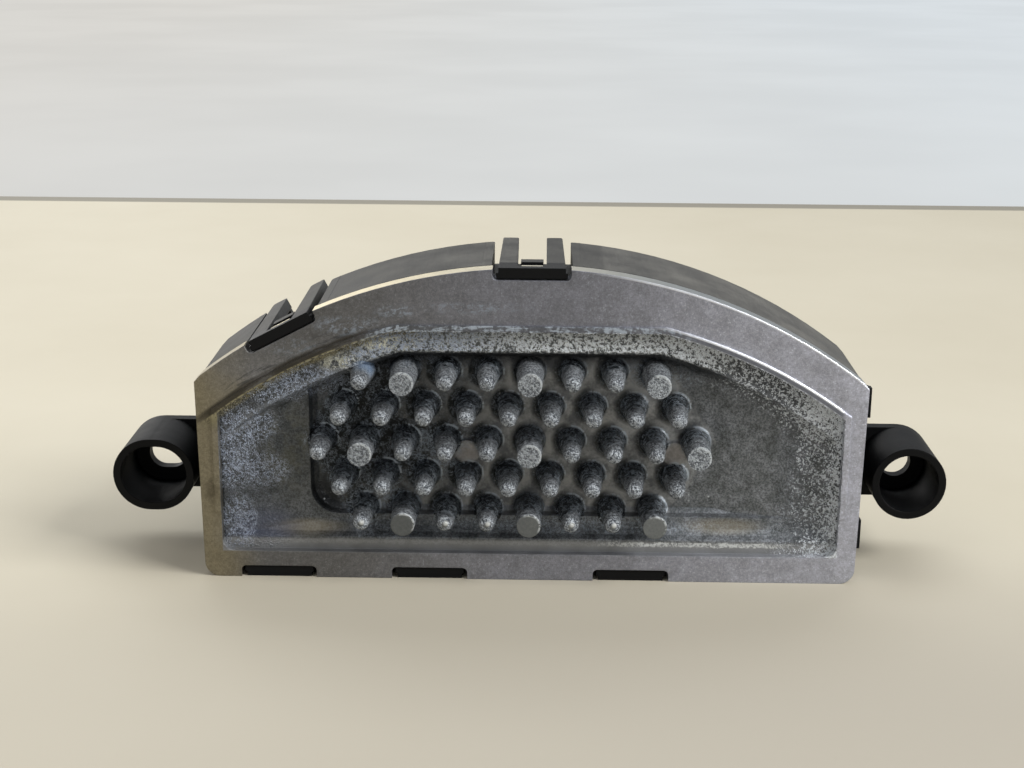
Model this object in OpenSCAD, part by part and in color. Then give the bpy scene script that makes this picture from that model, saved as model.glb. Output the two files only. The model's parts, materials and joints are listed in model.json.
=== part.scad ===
// Blower motor resistor for a car's heater fan.
// A cast heat sink with a field of round pins is snapped into a moulded housing, which has
// two screw tubes at its sides and two connector sockets at its back. The power transistors
// are clamped to the back of the casting, and a circuit board fills the housing behind them.
// Sizes are in millimetres. X runs to the right, Y runs from the pin tips back to the sockets
// and Z is up. The part stands on its long flat edge.

/* [Outline] */
// Width of the body at its flat bottom edge
body_width = 94.5; // [91:0.5:104]
// Height of the body from the flat edge to the top of the arc
body_height = 46.3; // [44:0.5:52]
// Radius of the curved top edge
arc_radius = 77; // [70:1:100]
// How far each side leans outward from bottom to top
side_lean = 0.5; // [0:0.1:1.5]
// Radius of the two bottom corners
corner_radius = 2.2; // [1:0.2:3]
// Size of the small facet where a side meets the arc
corner_facet = 1.0; // [0.4:0.1:2]

/* [Heat sink] */
// Thickness of the flat rim
rim_thickness = 3.0; // [2.6:0.1:4]
// Width of the rim at the sides
rim_side = 2.9; // [2.5:0.1:4]
// Width of the rim along the bottom
rim_bottom = 4.0; // [3.6:0.1:5]
// Width of the rim at the top of the arc
rim_top = 9.1; // [8.4:0.1:10]
// Width of the raised bead round the recess
bead_width = 0.9; // [0.5:0.1:1.4]
// Height of the raised bead
bead_height = 0.3; // [0.1:0.05:0.6]
// Depth of the narrow shelf inside the bead
shelf_depth = 1.2; // [0.8:0.1:1.6]
// Width of the shelf along the arc
shelf_top = 3.0; // [2:0.1:3.6]
// Width of the shelf along the bottom
shelf_bottom = 1.6; // [1.2:0.1:2.4]
// Depth of the dished floor below the rim
dish_depth = 3.0; // [2.4:0.1:3.4]
// Width of the rounded wall of the dish
dish_wall = 3.0; // [2:0.1:3.6]
// Depth of the pocket round the pins below the rim
pocket_depth = 4.5; // [4:0.1:5.2]
// Thickness of the casting behind the pocket
floor_thickness = 2.5; // [2:0.1:4]
// Length of the ramp where the pocket runs out to the right
pocket_ramp = 12; // [8:1:13]
// Length of the ramp where the dish runs out to the left
dish_ramp = 16; // [6:1:20]

/* [Pins] */
// Distance between neighbouring pins
pin_pitch = 6.0; // [5.6:0.1:6.4]
// Length of a pin above the pocket floor
pin_length = 8.0; // [7:0.5:12]
// Diameter of a small pin at its foot
small_pin_foot = 3.7; // [3:0.1:4]
// Diameter of a small pin at its round tip
small_pin_tip = 2.4; // [1.6:0.1:2.8]
// Diameter of a large pin at its foot
large_pin_foot = 4.2; // [3.6:0.1:4.6]
// Diameter of a large pin at its flat tip
large_pin_tip = 3.4; // [2.6:0.1:3.5]
// Size of the fillet at the foot of a pin
pin_fillet = 0.5; // [0.2:0.1:0.8]
// Distance of the pin field's centre to the left of the body's centre
pin_field_left = 3.1; // [0:0.1:6]
// Height of the pin field's centre above the flat edge
pin_field_height = 20.0; // [19.4:0.1:20.6]

/* [Housing] */
// Step from the edge of the rim in to the housing
skirt_inset = 0.2; // [0.1:0.1:0.6]
// Wall of the housing
skirt_wall = 1.8; // [1.4:0.1:2.2]
// Length of the stepped lip behind the rim
lip_length = 1.2; // [0.8:0.1:2]
// Extra step of that lip
lip_step = 0.4; // [0.1:0.1:0.5]
// Thickness of the flange that presses on the seal
seal_flange = 2.0; // [1.6:0.1:3]
// Thickness of the back wall
back_wall = 1.8; // [1.5:0.1:3]
// Thickness of the ribs across the back wall
rib_thickness = 1.2; // [0.8:0.1:2]
// Height of the ribs across the back wall
rib_height = 1.4; // [0.6:0.1:1.8]
// How far the right side lugs stand out from the rim
lug_right = 1.0; // [0.6:0.1:2]
// How far the left side lugs stand out from the rim
lug_left = 0.5; // [0.2:0.1:1.2]
// Height of a side lug
lug_height = 4.4; // [3:0.1:6]

/* [Snap loops] */
// Width of the gap that a loop stands in
gap_width = 11.4; // [11:0.1:12.2]
// Width of the notch that a loop's bar lies in
notch_width = 11.0; // [10.6:0.1:11.4]
// Depth of that notch
notch_depth = 1.7; // [1.5:0.05:1.9]
// Width across the two legs of a loop
loop_width = 9.4; // [8.8:0.1:9.8]
// Width of one leg
leg_width = 2.7; // [2.2:0.1:2.8]
// Width of the bar across the front of a loop
bar_width = 10.0; // [9.8:0.1:10.4]
// Thickness of the bar
bar_thickness = 1.4; // [1:0.1:1.4]
// How far the legs reach past the back wall
loop_reach = 1.2; // [1:0.1:2.5]
// Radius of the corners at the back of the legs and of the gaps
edge_round = 0.5; // [0.2:0.1:0.7]
// Play between a loop and the casting
loop_play = 0.15; // [0.1:0.05:0.25]
// Angle of the left top loop from the middle of the arc
left_loop_angle = 27.6; // [25:0.2:28]

/* [Screw tubes] */
// Distance between the two screw holes
tube_spacing = 112.6; // [111:0.2:126]
// Height of the screw holes above the flat edge
tube_height = 12.4; // [11:0.2:20]
// Length of a tube with its end plate
tube_length = 12.6; // [9:0.2:15]
// Outer diameter of a tube
tube_outer = 11.0; // [10:0.2:12]
// Wall of a tube
tube_wall = 1.1; // [0.8:0.1:1.6]
// Extra width of the left tube and its hole
tube_slot = 1.1; // [0.5:0.1:1.5]
// Diameter of a screw hole
screw_hole = 4.7; // [4:0.1:5.5]
// Thickness of a tube's end plate
tube_plate = 1.9; // [1.5:0.1:3]

/* [Sockets] */
// Width of a power blade
blade_width = 6.3; // [5.6:0.1:6.4]
// Thickness of all blades
blade_thickness = 0.8; // [0.6:0.1:1]
// Width of a signal pin
signal_width = 2.8; // [2:0.1:3]
// Clear space between two blades in a socket
blade_space = 2.6; // [2.2:0.1:3]
// Length of a blade inside its socket
blade_length = 11.0; // [8:0.5:11.5]
// Space between the blades and the side of a socket
socket_side = 1.6; // [1.2:0.1:2]
// Inner height of a socket
socket_height = 10.4; // [9.6:0.1:11]
// Depth of a socket
socket_depth = 16.0; // [15.6:0.2:20]
// Wall of a socket
socket_wall = 1.5; // [1.2:0.1:1.8]
// Height of the sockets' middle above the flat edge
socket_level = 21.0; // [20.6:0.1:21.4]
// Gap between the two sockets
socket_gap = 5.6; // [4:0.1:7]
// Shift of the pair of sockets to the left
socket_shift = 1.3; // [0:0.1:2]

/* [Electronics] */
// Width of a power transistor
device_width = 15.9; // [14:0.1:16]
// Height of a power transistor
device_height = 20.9; // [19:0.1:21.4]
// Thickness of a power transistor
device_thickness = 5.0; // [4.4:0.1:5.6]
// Distance between the leads of a power transistor
lead_pitch = 5.45; // [4.6:0.05:6]
// Width of such a lead
lead_width = 1.2; // [0.8:0.1:1.6]
// Thickness of the insulating pad under it
pad_thickness = 0.3; // [0.2:0.05:0.6]
// Thickness of the clamp spring
spring_thickness = 0.8; // [0.5:0.1:1]
// Width of the clamp spring
spring_width = 9; // [7:0.5:11]
// Height of a screw head
head_height = 1.6; // [1.2:0.1:1.8]
// Free space between the devices' spring and the board
board_clearance = 2.8; // [2:0.1:4]
// Thickness of the circuit board
board_thickness = 1.6; // [1:0.1:2]
// Height of the board's posts on the back wall
post_height = 2.2; // [1.6:0.1:4]
// Diameter of a storage capacitor
can_diameter = 6.6; // [5:0.1:7.4]
// Length of a storage capacitor
can_length = 11.0; // [8:0.5:12]
// Diameter of a storage capacitor's lead
can_lead = 0.7; // [0.5:0.05:0.8]
// Diameter of the choke's ferrite rod
core_diameter = 4.2; // [3:0.1:4.4]
// Length of the choke's ferrite rod
core_length = 14.0; // [12:0.5:15]
// Diameter of the choke's wire
wire_diameter = 0.9; // [0.6:0.1:1]
// Length of the shunt strip
shunt_length = 10; // [9:0.5:12]
// Width of the shunt strip
shunt_width = 5; // [4:0.5:6]
// Height of the shunt strip's arch
shunt_arch = 2.6; // [2.2:0.1:3]
// Length of a small chip part
chip_length = 2; // [1.6:0.1:2.2]
// Width of a small chip part
chip_width = 1.25; // [1:0.05:1.4]
// Distance between neighbouring chip parts
chip_step = 3.2; // [2.8:0.1:3.4]
// Length of the control chip
control_length = 8.7; // [8.2:0.1:9.6]
// Width of the control chip
control_width = 3.9; // [3.4:0.1:4.2]
// Distance between the control chip's legs
leg_step = 1.27; // [1.1:0.01:1.3]
// Length of the protection diode
diode_length = 7; // [6:0.1:7.2]
// Width of the protection diode
diode_width = 6; // [5:0.1:6.2]
// Width of the seal round the casting
seal_width = 0.8; // [0.5:0.1:1]
// Play between pieces that are pushed together
fit = 0.1; // [0.05:0.05:0.2]

/* [Hidden] */
$fn = 64;
// Thickness of the slices that a hull joins
tiny = 0.01;

// Depths of the layers, from the pin tips back
rim_y = pin_length - pocket_depth;
shelf_y = rim_y + shelf_depth;
dish_y = rim_y + dish_depth;
floor_y = pin_length;
flange_y = rim_y + rim_thickness;
pan_y = floor_y + floor_thickness;
device_y = pan_y + pad_thickness;
device_back_y = device_y + device_thickness;
board_y = device_back_y + spring_thickness + board_clearance;
board_back_y = board_y + board_thickness;
wall_y = board_back_y + post_height;
back_y = wall_y + back_wall;
loop_y = back_y + loop_reach;
mouth_y = back_y + socket_depth;

// The outline's own sizes
half = body_width / 2;
arc_z = body_height - arc_radius;
side_top = arc_z + sqrt(pow(arc_radius, 2) - pow(half + side_lean, 2));
pan_drop = 6.4;
pan_bottom = 4.6;
bay_depth = 3.8;
bay_depth_bottom = 2.2;
bay_wall = 1.4;
bottom_loops = [-0.772, -0.307, 0.313];

// The recess in the face
recess_half = half + 0.2 - rim_side;
recess_top = body_height - rim_top;
recess_crown = 2.4;
recess_radius = arc_radius - 2;
recess_z = recess_top + recess_crown - recess_radius;
// The rounded wall of the dish: shares of its width, of its depth and of its run-out
dish_steps = [[0, -0.6, 0], [0.12, 0, 0], [0.3, 0.45, 0.25], [0.55, 0.78, 0.5], [0.8, 0.94, 0.75], [1, 1, 1]];

// The field of pins
row_step = pin_pitch * sqrt(3) / 2;
row_counts = [8, 9, 10, 9, 8];
large_pins = [[1, 4, 7], [], [1, 5, 9], [], [1, 4, 7]];
field_half = (row_counts[2] - 1) / 2 * pin_pitch;
// The two ejector marks, each in the middle of three pins, as steps of the pitch from the field's middle
ejector_steps = [-1, 4];
ejector_radius = 1.9;

// The board and what stands behind the casting
board_half = half - skirt_inset - skirt_wall - 1.0;
board_bottom = 4.6;
board_radius = arc_radius - bay_depth - bay_wall - 0.8;
device_z = pan_bottom + 3.9 + device_height / 2;
boss_radius = 3.2;
device_right = board_half - 3.2 - device_width / 2;
device_left = device_right - device_width - 2 * boss_radius - 1.7;
boss_x = (device_left + device_right) / 2;
boss_y = device_back_y - spring_thickness;
post_radius = 2.6;
head_radius = 2.2;
posts = [[-board_half + 3.9, body_height - 22.1], [board_half - 3.7, body_height - 23.3],
    [-8, body_height - 10.3]];
screw_radius = 1.0;

// The two sockets: each row lists its blade widths from left to right
supply_row = [blade_width, signal_width, signal_width, blade_width];
motor_row = [blade_width, blade_width];
supply_x = -socket_shift - socket_gap / 2 - socket_wall - row_width(supply_row) / 2 - socket_side;
motor_x = -socket_shift + socket_gap / 2 + socket_wall + row_width(motor_row) / 2 + socket_side;

// The row stands with its box centred on the origin
shift_x = -tube_slot / 4;
shift_y = mouth_y / 2;

// The depth of the dish's wall at some share of its whole depth
function dish_at(share) = shelf_y + (dish_y - shelf_y) * share;
// How far a row of blades reaches, and the place of one blade from the middle of the row
function row_width(row, i = 0) = i >= len(row) ? -blade_space : row[i] + blade_space + row_width(row, i + 1);
function row_place(row, i) = -row_width(row) / 2 + row[i] / 2 + (i == 0 ? 0 : before(row, i));
function before(row, i) = i == 0 ? 0 : row[i - 1] + blade_space + before(row, i - 1);
// The points of a quarter circle, which starts at angle a
function corner(x, z, r, a, steps = 8) = [for (i = [0:steps]) [x + r * cos(a + 90 * i / steps),
    z + r * sin(a + 90 * i / steps)]];
function mirrored(points) = [for (i = [len(points) - 1:-1:0]) [-points[i][0], points[i][1]]];

// A flat shape drawn in X and Z, as thick as from one depth to another
module slab(front, back) {
    translate([0, back, 0])
        rotate([90, 0, 0])
            linear_extrude(height = back - front)
                children();
}

// The body's outline, drawn in by some amount; the bottom edge has an amount of its own
module body_shape(inset = 0, lift = 0) {
    radius = arc_radius - inset;
    side = half + side_lean - inset;
    rise = sqrt(pow(radius, 2) - pow(side, 2));
    slope = [-rise, side] / radius;
    right = concat(
        corner(half - inset - corner_radius, lift + corner_radius, corner_radius, -90),
        [[side, arc_z + rise - 0.3 * corner_facet],
        [side, arc_z + rise] + 1.2 * corner_facet * slope,
        [side, arc_z + rise] + half * slope]);
    intersection() {
        translate([0, arc_z])
            circle(r = radius, $fn = 180);
        polygon(concat(right, mirrored(right)));
    }
}

// A rectangle with round corners
module round_box(width, height, r) {
    right = concat(
        corner(width / 2 - r, -height / 2 + r, r, -90, 5),
        corner(width / 2 - r, height / 2 - r, r, 0, 5));
    polygon(concat(right, mirrored(right)));
}

// The recess in the face, drawn in by some amount; the left end can be drawn in further
module recess_shape(inset = 0, top = 0, bottom = 0, left = 0) {
    r = 1.8;
    right = concat(
        corner(recess_half - inset - r, rim_bottom + bottom + inset + r, r, -90, 6),
        [[recess_half - inset, recess_top - top - inset], [0, recess_top - top - inset]]);
    intersection() {
        translate([0, recess_z])
            circle(r = recess_radius - top - inset, $fn = 120);
        polygon(concat(right, mirrored(right)));
        translate([-recess_half + inset + left, 0])
            square(2 * body_width);
    }
}

// The back of the casting, grown by some amount
module pan_shape(grow = 0) {
    r = 3;
    right = concat(
        corner(recess_half - 0.5 + grow - r, pan_bottom - grow + r, r, -90, 6),
        [[recess_half - 0.5 + grow, body_height]]);
    intersection() {
        translate([0, arc_z])
            circle(r = arc_radius - pan_drop + grow, $fn = 120);
        polygon(concat(right, mirrored(right)));
    }
}

// The pocket round the pins, which runs out to the right as a ramp and stays below the shelf
module pocket_shape(inset = 0, right = 0) {
    left_x = -pin_field_left - field_half - small_pin_foot / 2 + inset;
    right_x = -pin_field_left + field_half + 2.5 + right;
    low = rim_bottom + shelf_bottom + dish_wall + 0.2 + inset;
    high = recess_top - shelf_top - 0.6 - inset;
    r = 4;
    intersection() {
        translate([0, recess_z])
            circle(r = recess_radius - shelf_top - 1 - inset, $fn = 120);
        polygon(concat(corner(left_x + r, low + r, r, 180, 5),
            [[right_x, low], [right_x, high], [left_x, high]]));
    }
}

// A tapered pin with its fillet, as long as from the floor to some height above it
module pin_shaft(foot, tip, height) {
    rotate([90, 0, 0])
        translate([0, 0, -floor_y])
            rotate_extrude($fn = 32)
                polygon([[0, -0.5], [foot + 1.4 * pin_fillet, -0.5],
                    [foot + 0.3 * pin_fillet, 0.3 * pin_fillet], [foot - 0.02, pin_fillet], [tip, height],
                    [0, height]]);
}

module small_pin() {
    tip = small_pin_tip / 2;
    pin_shaft(small_pin_foot / 2, tip, floor_y - tip);
    translate([0, tip, 0])
        sphere(r = tip, $fn = 32);
}

module large_pin() {
    pin_shaft(large_pin_foot / 2, large_pin_tip / 2, floor_y);
}

module ejector_marks() {
    for (step = ejector_steps)
        translate([-pin_field_left + step * pin_pitch, floor_y + 0.5, pin_field_height - row_step / 3])
            rotate([90, 0, 0])
                cylinder(r1 = ejector_radius + 0.1, r2 = ejector_radius - 0.1, h = 1.3, $fn = 48);
}

module pins() {
    for (row = [0:len(row_counts) - 1])
        for (i = [0:row_counts[row] - 1])
            translate([-pin_field_left + (i - (row_counts[row] - 1) / 2) * pin_pitch, 0,
                pin_field_height + (2 - row) * row_step])
                if (len(search(i, large_pins[row])) > 0)
                    large_pin();
                else
                    small_pin();
}

// Puts its children at every snap loop, with the outer face of the body at Z = 0
module at_top_loops() {
    for (angle = [0, -left_loop_angle])
        translate([0, 0, arc_z])
            rotate([0, angle, 0])
                translate([0, 0, arc_radius])
                    children();
}

module at_bottom_loops() {
    for (share = bottom_loops)
        translate([share * half, 0, 0])
            rotate([0, 180, 0])
                children();
}

module notch() {
    r = 0.7;
    edge = concat(corner(notch_width / 2 - r, r - notch_depth, r, -90, 4), [[notch_width / 2, 3]]);
    slab(rim_y - 1, flange_y + 1)
        polygon(concat(edge, mirrored(edge)));
}

// The catch nose that a loop's bar snaps over
module nose() {
    front = rim_y + 0.3 + bar_thickness + loop_play;
    width = loop_width - 2 * leg_width - 1;
    translate([-width / 2, 0, 0])
        rotate([90, 0, 90])
            linear_extrude(height = width)
                polygon([[front, -notch_depth - 0.4], [front, -0.1], [flange_y - 0.2, -0.1],
                    [flange_y + 1.5, -1], [flange_y + 1.5, -notch_depth + 0.2],
                    [flange_y, -notch_depth + 0.2], [flange_y, -notch_depth - 0.4]]);
}

module heat_sink() {
    color("#8d8f92")
        union() {
            difference() {
                union() {
                    slab(rim_y, flange_y)
                        body_shape();
                    slab(rim_y - bead_height, rim_y + 0.5)
                        intersection() {
                            recess_shape(-bead_width);
                            translate([-half, rim_bottom + 6])
                                square([2 * half, body_height]);
                        }
                    slab(flange_y - 0.5, pan_y)
                        pan_shape();
                    translate([boss_x, boss_y, device_z])
                        rotate([90, 0, 0])
                            cylinder(r = boss_radius, h = boss_y - pan_y + 0.5);
                }
                slab(rim_y - 1, shelf_y)
                    recess_shape();
                hull() {
                    for (step = dish_steps)
                        slab(dish_at(step[1]) - tiny, dish_at(step[1]))
                            recess_shape(step[0] * dish_wall, shelf_top, shelf_bottom, step[2] * dish_ramp);
                }
                hull() {
                    slab(dish_y - 1, dish_y - 1 + tiny)
                        pocket_shape(0, pocket_ramp);
                    slab(dish_y, dish_y + tiny)
                        pocket_shape(0.1, pocket_ramp);
                    slab(floor_y - 0.5, floor_y - 0.5 + tiny)
                        pocket_shape(0.4, pocket_ramp / 3);
                    slab(floor_y - tiny, floor_y)
                        pocket_shape(1.1, 0);
                }
                at_top_loops()
                    notch();
                at_bottom_loops()
                    notch();
                translate([boss_x, boss_y + 1, device_z])
                    rotate([90, 0, 0])
                        cylinder(r = screw_radius + fit, h = boss_y - pan_y + 2);
            }
            pins();
            ejector_marks();
            at_top_loops()
                nose();
            at_bottom_loops()
                nose();
        }
}

// One snap loop: two legs, the bar across their front ends and their roots on the back wall
module snap_loop() {
    front = rim_y + 0.3;
    thick = notch_depth - loop_play;
    inner = loop_width / 2 - leg_width;
    outer = loop_width / 2;
    r = edge_round;
    tail = concat(
        [for (a = [0:30:90]) [outer - 0.25 - r + r * cos(a), loop_y - r + r * sin(a)]],
        [for (a = [90:30:180]) [inner + 0.1 + r + r * cos(a), loop_y - r + r * sin(a)]]);
    leg = concat([[inner, front], [outer, front]], tail);
    for (side = [-1, 1])
        union() {
            translate([0, 0, -thick])
                linear_extrude(height = thick)
                    polygon([for (p = leg) [side * p[0], p[1]]]);
            translate([side > 0 ? inner + 0.3 : -outer + 0.45, back_y - 0.5, -7])
                cube([leg_width - 0.75, loop_reach + 0.3, 7 - 0.3]);
        }
    translate([-bar_width / 2, front, -thick])
        cube([bar_width, bar_thickness, thick - 0.7]);
    translate([-3.1, front, -thick])
        cube([6.2, bar_thickness, thick]);
}

// The bay behind a snap loop: a pocket in the housing's outer face, open to the back
module bay_block(depth) {
    front = flange_y + 0.4;
    translate([-gap_width / 2 - bay_wall, front, -depth - bay_wall])
        cube([gap_width + 2 * bay_wall, back_y - front, depth + bay_wall - 0.5]);
}

module bay_cut(depth) {
    r = edge_round;
    edge = concat([[gap_width / 2, flange_y - 1]],
        [for (a = [180:-30:90]) [gap_width / 2 + r + r * cos(a), back_y - r + r * sin(a)]],
        [[gap_width / 2 + r, back_y + 1]]);
    translate([0, 0, -depth])
        linear_extrude(height = depth + 3)
            polygon(concat(mirrored(edge), edge));
}

// The stop between a loop's legs, which keeps the loop from being bent too far
module loop_stop(depth) {
    width = loop_width - 2 * leg_width - 0.8;
    translate([-width / 2, flange_y + 2, -depth - 0.5])
        cube([width, 2, depth + 0.4]);
}

// The outline of a screw tube; the slot makes it longer to both sides
module tube_shape(diameter, slot) {
    translate([-slot / 2, 0])
        circle(d = diameter);
    if (slot > 0) {
        translate([slot / 2, 0])
            circle(d = diameter);
        square([slot, diameter], center = true);
    }
}

module tube(side, slot) {
    translate([side * tube_spacing / 2, 0, tube_height]) {
        slab(back_y - tube_length, back_y)
            tube_shape(tube_outer, slot);
    }
    reach = tube_spacing / 2 - half + 3;
    start = side > 0 ? tube_spacing / 2 - reach : -tube_spacing / 2;
    translate([start, back_y - tube_plate, tube_height - tube_outer / 2])
        cube([reach, tube_plate, tube_outer]);
}

module tube_bore(side, slot) {
    translate([side * tube_spacing / 2, 0, tube_height]) {
        slab(back_y - tube_length - 1, back_y - tube_plate)
            tube_shape(tube_outer - 2 * tube_wall, slot);
        slab(back_y - tube_plate - 1, back_y + 1)
            tube_shape(screw_hole, slot);
    }
}

// A socket's shell on the back wall, with the ramp that the plug's latch clicks over
module socket_shell(x, row) {
    width = row_width(row) + 2 * socket_side + 2 * socket_wall;
    height = socket_height + 2 * socket_wall;
    translate([x, 0, socket_level]) {
        slab(back_y - 0.5, mouth_y)
            round_box(width, height, 2);
        translate([-2.5, 0, height / 2 - 0.5])
            rotate([90, 0, 90])
                linear_extrude(height = 5)
                    polygon([[mouth_y - 8, 0], [mouth_y - 8, 2], [mouth_y - 7, 2],
                        [mouth_y - 2.5, 0.6], [mouth_y - 2.5, 0]]);
        for (place = [-0.36, 0.36])
            translate([place * width - rib_thickness / 2, back_y - 0.5, height / 2 - 0.5])
                cube([rib_thickness, socket_depth * 0.55, 1.5]);
    }
}

module socket_hollow(x, row) {
    width = row_width(row) + 2 * socket_side;
    translate([x, 0, socket_level]) {
        slab(back_y, mouth_y + 1)
            round_box(width, socket_height, 0.8);
        for (i = [0:len(row) - 1])
            translate([row_place(row, i) - row[i] / 2 - fit, wall_y - 1, -blade_thickness / 2 - fit])
                cube([row[i] + 2 * fit, back_wall + 2, blade_thickness + 2 * fit]);
    }
}

module side_lug(side, z, out) {
    wall = half + side_lean * z / side_top;
    translate([0, 0, z - lug_height / 2])
        linear_extrude(height = lug_height)
            polygon([[side * (wall - 1.5), flange_y], [side * (wall + out), flange_y],
                [side * (wall + out), flange_y + 1.2], [side * (wall - 0.5), flange_y + 3],
                [side * (wall - 1.5), flange_y + 3]]);
}

module board_post(place) {
    translate([place[0], wall_y + 0.5, place[1]])
        rotate([90, 0, 0])
            cylinder(r = post_radius, h = post_height + 0.5);
}

module housing() {
    color("#26262a")
        union() {
            difference() {
                union() {
                    difference() {
                        union() {
                            slab(flange_y, flange_y + lip_length)
                                body_shape(skirt_inset + lip_step);
                            slab(flange_y + lip_length, back_y)
                                body_shape(skirt_inset);
                        }
                        slab(flange_y + seal_flange, wall_y)
                            body_shape(skirt_inset + skirt_wall, skirt_wall);
                        slab(flange_y - 1, flange_y + seal_flange + 1)
                            pan_shape(seal_width + 2 * fit);
                    }
                    at_top_loops()
                        bay_block(bay_depth);
                    at_bottom_loops()
                        bay_block(bay_depth_bottom);
                    tube(1, 0);
                    tube(-1, tube_slot);
                    for (z = [side_top - 3.1, 6.6])
                        side_lug(1, z, lug_right);
                    for (z = [side_top - 4.4, 6.6])
                        side_lug(-1, z, lug_left);
                    for (place = posts)
                        board_post(place);
                    for (z = [socket_level - 11, socket_level + 11])
                        translate([supply_x - 13, back_y - 0.5, z - rib_thickness / 2])
                            cube([motor_x - supply_x + 22, rib_height + 0.5, rib_thickness]);
                    socket_shell(supply_x, supply_row);
                    socket_shell(motor_x, motor_row);
                }
                at_top_loops()
                    bay_cut(bay_depth);
                at_bottom_loops()
                    bay_cut(bay_depth_bottom);
                tube_bore(1, 0);
                tube_bore(-1, tube_slot);
                socket_hollow(supply_x, supply_row);
                socket_hollow(motor_x, motor_row);
                for (place = posts)
                    translate([place[0], back_y - 0.7, place[1]])
                        rotate([90, 0, 0])
                            cylinder(r = screw_radius + fit, h = back_y - board_back_y);
            }
            at_top_loops() {
                snap_loop();
                loop_stop(bay_depth);
            }
            at_bottom_loops() {
                snap_loop();
                loop_stop(bay_depth_bottom);
            }
        }
}

module seal() {
    color("#7a3b2e")
        slab(flange_y, flange_y + seal_flange - 0.4)
            difference() {
                pan_shape(seal_width + fit);
                pan_shape(fit);
            }
}

module board_shape() {
    intersection() {
        translate([0, arc_z])
            circle(r = board_radius, $fn = 120);
        translate([-board_half, board_bottom])
            square([2 * board_half, body_height]);
    }
}

// Places on the board: what stands on its front face is drawn with Y = 0 at that face
can_x = posts[0][0] + head_radius + 0.5;
can_z = board_bottom + can_diameter / 2 + 0.8;
cans = [[can_x, can_z], [can_x, can_z + can_diameter + 1.4]];
choke_place = [can_x + can_length + 3.4 + core_length / 2, 9.4];
diode_place = [choke_place[0] + core_length / 2 + diode_length / 2 + 0.9, 9.2];
chip_place = [-18.5, (socket_level + body_height) / 2 - 5.1];
shunt_place = [posts[2][0] + 2.4, posts[2][1] - head_radius - shunt_width / 2 - 1.3];
shunt_low = shunt_place[1] - shunt_width / 2;
ceramic_z = socket_level - 5;
ceramic_height = 1.2;
resistor_height = 0.5;

// The board's lead holes
module board_holes() {
    for (place = posts)
        translate([place[0], place[1]])
            circle(r = screw_radius + fit);
    for (x = [device_left, device_right])
        for (i = [-1, 0, 1])
            translate([x + i * lead_pitch, device_z - device_height / 2 - 2.1])
                square([lead_width + 2 * fit, 0.6 + 2 * fit], center = true);
    for (place = cans)
        for (side = [-1, 1])
            translate([place[0] + can_length + 2.6, place[1] + side * can_diameter * 0.19])
                circle(d = can_lead + 2 * fit);
    for (side = [-1, 1])
        translate([choke_place[0] + side * (core_length - 3.2) / 2, choke_place[1] + wire_radius])
            circle(r = wire_diameter / 2 + fit);
    for (i = [0:len(supply_row) - 1])
        translate([supply_x + row_place(supply_row, i), socket_level])
            square([supply_row[i] + 2 * fit, blade_thickness + 2 * fit], center = true);
    for (i = [0:len(motor_row) - 1])
        translate([motor_x + row_place(motor_row, i), socket_level])
            square([motor_row[i] + 2 * fit, blade_thickness + 2 * fit], center = true);
}

module circuit_board() {
    color("#2f6b45")
        slab(board_y, board_back_y)
            difference() {
                board_shape();
                board_holes();
            }
}

module thermal_pads() {
    color("#c9ccd0")
        for (x = [device_left, device_right])
            translate([x, 0, device_z])
                slab(pan_y, device_y)
                    square([device_width + 1, device_height + 1], center = true);
}

module tab_shape() {
    translate([0, 1.2])
        square([device_width - 2.4, device_height - 4.6], center = true);
}

module device_hole() {
    translate([0, device_height / 2 - 5.8])
        circle(r = 1.8);
}

module transistor_bodies() {
    color("#1d1d1f")
        for (x = [device_left, device_right])
            translate([x, 0, device_z])
                difference() {
                    slab(device_y, device_back_y)
                        round_box(device_width, device_height, 0.8);
                    slab(device_y - 1, device_y + 2)
                        tab_shape();
                    slab(device_y - 1, device_back_y + 1)
                        device_hole();
                }
}

module transistor_tabs() {
    color("#c2c4c6")
        for (x = [device_left, device_right])
            translate([x, 0, device_z])
                slab(device_y, device_y + 2)
                    difference() {
                        tab_shape();
                        device_hole();
                    }
}

module transistor_leads() {
    lead_y = device_y + 2.4;
    drop = 2.1;
    color("#b9bbbd")
        for (x = [device_left, device_right])
            for (i = [-1, 0, 1])
                translate([x + i * lead_pitch - lead_width / 2, 0, device_z - device_height / 2])
                    rotate([90, 0, 90])
                        linear_extrude(height = lead_width)
                            polygon([[lead_y, 0], [lead_y, -drop - 0.3], [board_back_y + 0.9, -drop - 0.3],
                                [board_back_y + 0.9, -drop + 0.3], [lead_y + 0.6, -drop + 0.3],
                                [lead_y + 0.6, 0]]);
}

// The leaf spring: its middle is screwed to the boss and its arms press on the devices
module clamp_spring() {
    reach = (device_right - device_left) / 2 + device_width / 4;
    t = spring_thickness;
    edge = [[0, 0], [boss_radius + 0.2, 0], [boss_radius + 0.8, t], [reach, t],
        [reach + 0.6, 2 * t - 0.1], [reach, 2 * t], [boss_radius + 0.4, 2 * t],
        [boss_radius - 0.2, t], [0, t]];
    color("#9da0a3")
        translate([boss_x, boss_y, device_z])
            difference() {
                for (side = [-1, 1])
                    translate([0, 0, -spring_width / 2])
                        linear_extrude(height = spring_width)
                            polygon([for (p = edge) [side * p[0], p[1]]]);
                rotate([90, 0, 0])
                    translate([0, 0, -5])
                        cylinder(r = screw_radius + 0.4, h = 10);
            }
}

module screw(length, head) {
    rotate([90, 0, 0]) {
        difference() {
            cylinder(r = head, h = head_height);
            for (angle = [0, 90])
                rotate([0, 0, angle])
                    translate([-head * 0.6, -0.3, head_height - 0.8])
                        cube([head * 1.2, 0.6, 2]);
        }
        translate([0, 0, -length])
            cylinder(r = screw_radius, h = length + 0.3);
    }
}

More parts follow.
